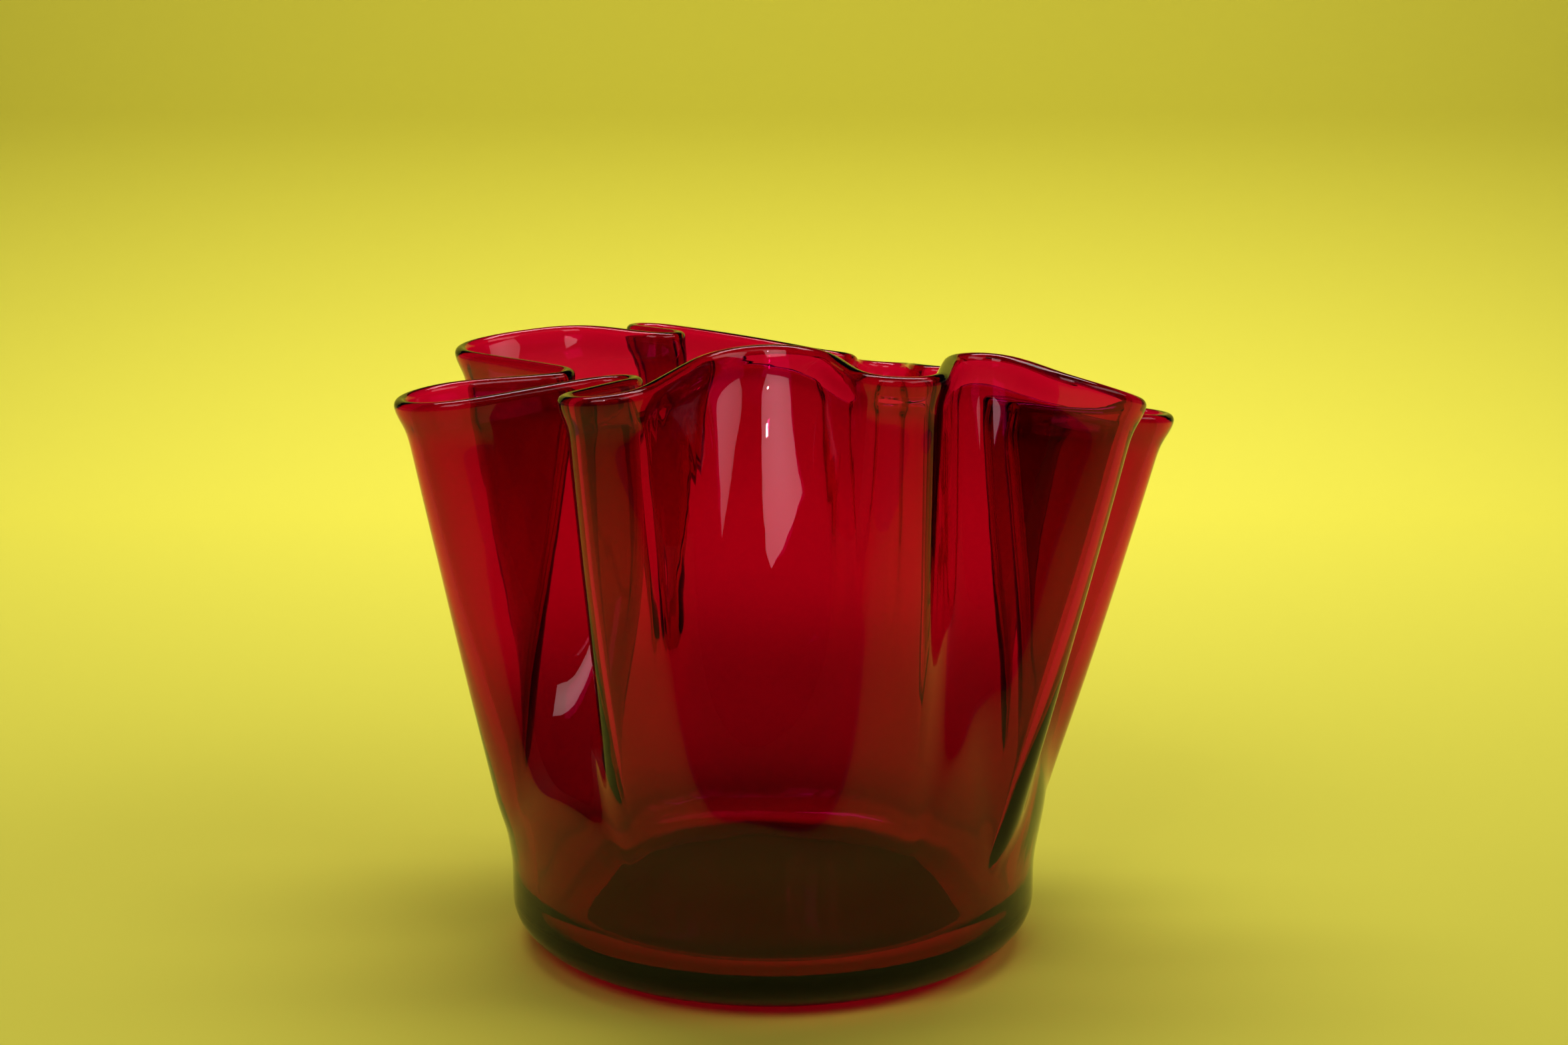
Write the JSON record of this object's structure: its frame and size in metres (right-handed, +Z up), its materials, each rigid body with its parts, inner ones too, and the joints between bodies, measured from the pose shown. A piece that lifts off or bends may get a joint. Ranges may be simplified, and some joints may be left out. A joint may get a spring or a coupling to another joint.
{
  "type": "glass bowl",
  "caption": "Hand-blown clear red glass bowl with a deeply folded, ruffled rim and a flat round foot, for holding flowers, fruit or small things.",
  "frame": {"origin": "middle of the flat underside of the foot, on the surface that the bowl stands on", "axes": "+Z up out of the mouth, +X along the widest spread of the folded rim, +Y towards the rear folds"},
  "size_m": [0.2663, 0.2181, 0.2132],
  "materials": {
    "ruby_glass": "polished, transparent"
  },
  "bodies": {
    "root": {"glass_bowl": "ruby_glass"}
  },
  "joints": []
}
